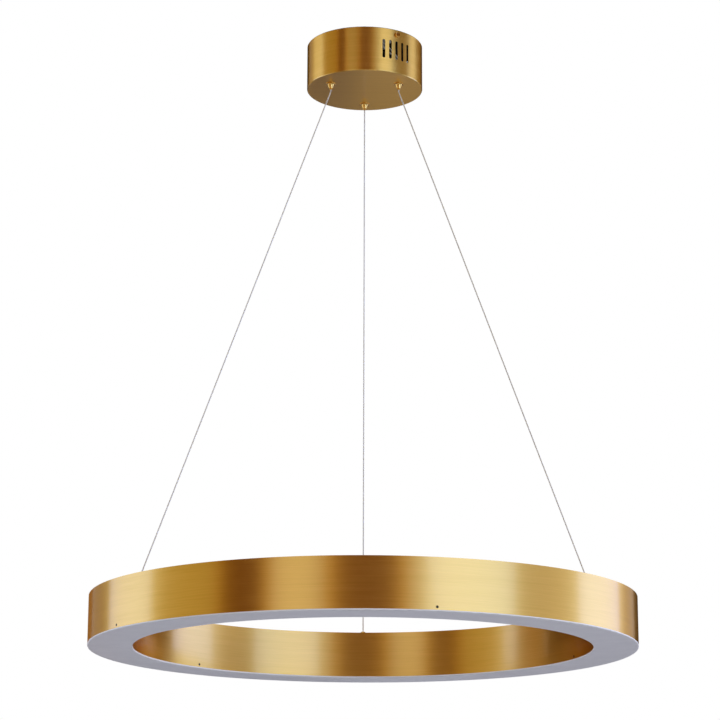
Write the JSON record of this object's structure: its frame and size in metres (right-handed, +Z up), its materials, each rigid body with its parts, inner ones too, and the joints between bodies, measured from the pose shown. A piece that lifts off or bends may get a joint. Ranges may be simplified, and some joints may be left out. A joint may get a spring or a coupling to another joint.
{
  "type": "led ring chandelier",
  "caption": "Round LED ring pendant in brushed brass with an opal underside, hung by slanting steel wires from a drum canopy with side vents and thumb screws.",
  "frame": {"origin": "centre of the ceiling bracket's top face, on the ceiling and on the lamp's own axis", "axes": "+Z up into the ceiling, -Y the front that the picture looks at, +X to the right"},
  "size_m": [0.8, 0.8, 0.9362],
  "materials": {
    "brushed_brass": "rolled brass-finished sheet, brushed along the ring and lacquered",
    "polished_brass": "turned and polished, gold plated",
    "zinc_steel": "zinc plated steel",
    "tinned_copper": "tinned copper, crimped",
    "black_steel": "blackened countersunk screws",
    "jacketed_wire": "stranded steel wire in a clear plastic jacket",
    "crimp_aluminium": "crimped aluminium sleeve",
    "white_lead": "white silicone insulation",
    "earth_lead": "green and yellow insulation",
    "white_plastic": "moulded white polycarbonate, fine texture",
    "block_nylon": "natural nylon",
    "foam_tape": "double-sided foam tape",
    "tray_aluminium": "mill-finish aluminium sheet",
    "strip_laminate": "white solder-masked laminate",
    "led_phosphor": "yellow phosphor in silicone",
    "opal_acrylic": "opal acrylic, satin outside, unlit"
  },
  "bodies": {
    "canopy": {"ceiling_bracket": "zinc_steel", "canopy_cover": "brushed_brass", "mains_terminal_block": "block_nylon", "terminal_screws": "zinc_steel", "block_screw": "zinc_steel", "earth_screw": "zinc_steel", "earth_stud": "zinc_steel", "earth_nut": "zinc_steel", "earth_lugs": "tinned_copper", "earth_lead": "earth_lead", "mains_lead_live": "white_lead", "mains_lead_neutral": "white_lead", "driver_tape": "foam_tape", "led_driver_case": "white_plastic", "led_driver_lid": "white_plastic", "dc_lugs": "tinned_copper", "dc_lead_positive": "white_lead", "dc_lead_negative": "white_lead", "gripper_nuts": "zinc_steel", "gripper_body_left": "polished_brass", "gripper_body_right": "polished_brass", "gripper_body_back": "polished_brass", "gripper_spring_left": "zinc_steel", "gripper_spring_right": "zinc_steel", "gripper_spring_back": "zinc_steel"},
    "ring": {"ring_outer_band": "brushed_brass", "ring_inner_band": "brushed_brass", "ring_top_plate": "brushed_brass", "wire_anchors": "polished_brass", "anchor_nuts": "zinc_steel", "anchor_lugs": "tinned_copper", "ring_leads_positive": "white_lead", "ring_leads_negative": "white_lead", "tray_posts": "zinc_steel", "tray_screws": "zinc_steel", "led_tray": "tray_aluminium", "led_strip_outer": "strip_laminate", "led_strip_inner": "strip_laminate", "led_chips_outer": "led_phosphor", "led_chips_inner": "led_phosphor", "diffuser": "opal_acrylic", "diffuser_screws_outer": "black_steel", "diffuser_screws_inner": "black_steel"},
    "wire_left": {"suspension_wire_left": "jacketed_wire", "wire_ferrule_left": "crimp_aluminium"},
    "plunger_left": {"gripper_plunger_left": "polished_brass"},
    "wire_right": {"suspension_wire_right": "jacketed_wire", "wire_ferrule_right": "crimp_aluminium"},
    "plunger_right": {"gripper_plunger_right": "polished_brass"},
    "wire_back": {"suspension_wire_back": "jacketed_wire", "wire_ferrule_back": "crimp_aluminium"},
    "plunger_back": {"gripper_plunger_back": "polished_brass"},
    "thumb_front": {"thumb_screw_front": "polished_brass"},
    "thumb_back": {"thumb_screw_back": "polished_brass"}
  },
  "joints": [
    {"name": "ring_twist", "type": "hinge", "parent": "canopy", "child": "ring", "pos_m": [0, 0, -0.864], "axis": [0, 0, 1], "range_deg": [-12, 12], "stiffness_Nm_per_rad": 1.6},
    {"name": "wire_turn_left", "type": "hinge", "parent": "canopy", "child": "wire_left", "pos_m": [-0.05196, -0.03, -0.0659], "axis": [-0.066, -0.0381, 0.9971], "range_deg": [-12, 12]},
    {"name": "wire_turn_right", "type": "hinge", "parent": "canopy", "child": "wire_right", "pos_m": [0.05196, -0.03, -0.0659], "axis": [0.066, -0.0381, 0.9971], "range_deg": [-12, 12]},
    {"name": "wire_turn_back", "type": "hinge", "parent": "canopy", "child": "wire_back", "pos_m": [0, 0.06, -0.0659], "axis": [0, 0.0762, 0.9971], "range_deg": [-12, 12]},
    {"name": "plunger_press_left", "type": "slide", "parent": "canopy", "child": "plunger_left", "axis": [0, 0, 1], "range_m": [0, 0.0015], "stiffness_N_per_m": 300, "springref_m": -0.002, "deforming": ["gripper_spring_left"]},
    {"name": "plunger_press_right", "type": "slide", "parent": "canopy", "child": "plunger_right", "axis": [0, 0, 1], "range_m": [0, 0.0015], "stiffness_N_per_m": 300, "springref_m": -0.002, "deforming": ["gripper_spring_right"]},
    {"name": "plunger_press_back", "type": "slide", "parent": "canopy", "child": "plunger_back", "axis": [0, 0, 1], "range_m": [0, 0.0015], "stiffness_N_per_m": 300, "springref_m": -0.002, "deforming": ["gripper_spring_back"]},
    {"name": "thumb_unscrew_front", "type": "slide", "parent": "canopy", "child": "thumb_front", "axis": [0.5446, -0.8387, 0], "range_m": [0, 0.008]},
    {"name": "thumb_unscrew_back", "type": "slide", "parent": "canopy", "child": "thumb_back", "axis": [-0.5446, 0.8387, 0], "range_m": [0, 0.008]}
  ],
  "couplings": [
    {"joint": "wire_turn_left", "follows": "ring_twist", "ratio": 1},
    {"joint": "wire_turn_right", "follows": "ring_twist", "ratio": 1},
    {"joint": "wire_turn_back", "follows": "ring_twist", "ratio": 1}
  ]
}
